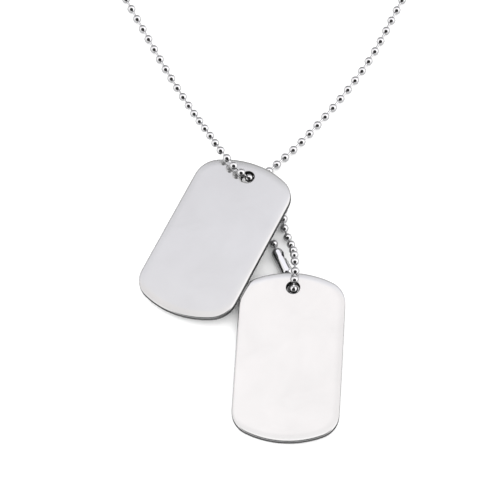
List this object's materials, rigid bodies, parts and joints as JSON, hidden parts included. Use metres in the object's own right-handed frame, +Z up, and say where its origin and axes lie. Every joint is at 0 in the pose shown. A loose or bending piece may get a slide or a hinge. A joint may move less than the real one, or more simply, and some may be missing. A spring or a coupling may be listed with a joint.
{
  "type": "identification dog tag",
  "caption": "Blank steel identification tags with rounded corners, threaded on a long ball chain necklace and a short ball chain loop, each closed by a slit connector, lying flat.",
  "frame": {"origin": "middle of the footprint of everything that lies on the surface, at the height of the surface", "axes": "+Z up from the surface; +Y from the tags towards the far side of the neck loop; +X to the right as seen from the tags"},
  "size_m": [0.1464, 0.3223, 0.0097],
  "materials": {
    "tag_steel": "polished",
    "chain_metal": "polished",
    "connector_metal": "polished"
  },
  "bodies": {
    "root": {"upper_tag": "tag_steel", "lower_tag": "tag_steel", "long_chain": "chain_metal", "short_chain": "chain_metal", "long_connector": "connector_metal", "short_connector": "connector_metal"}
  },
  "joints": []
}
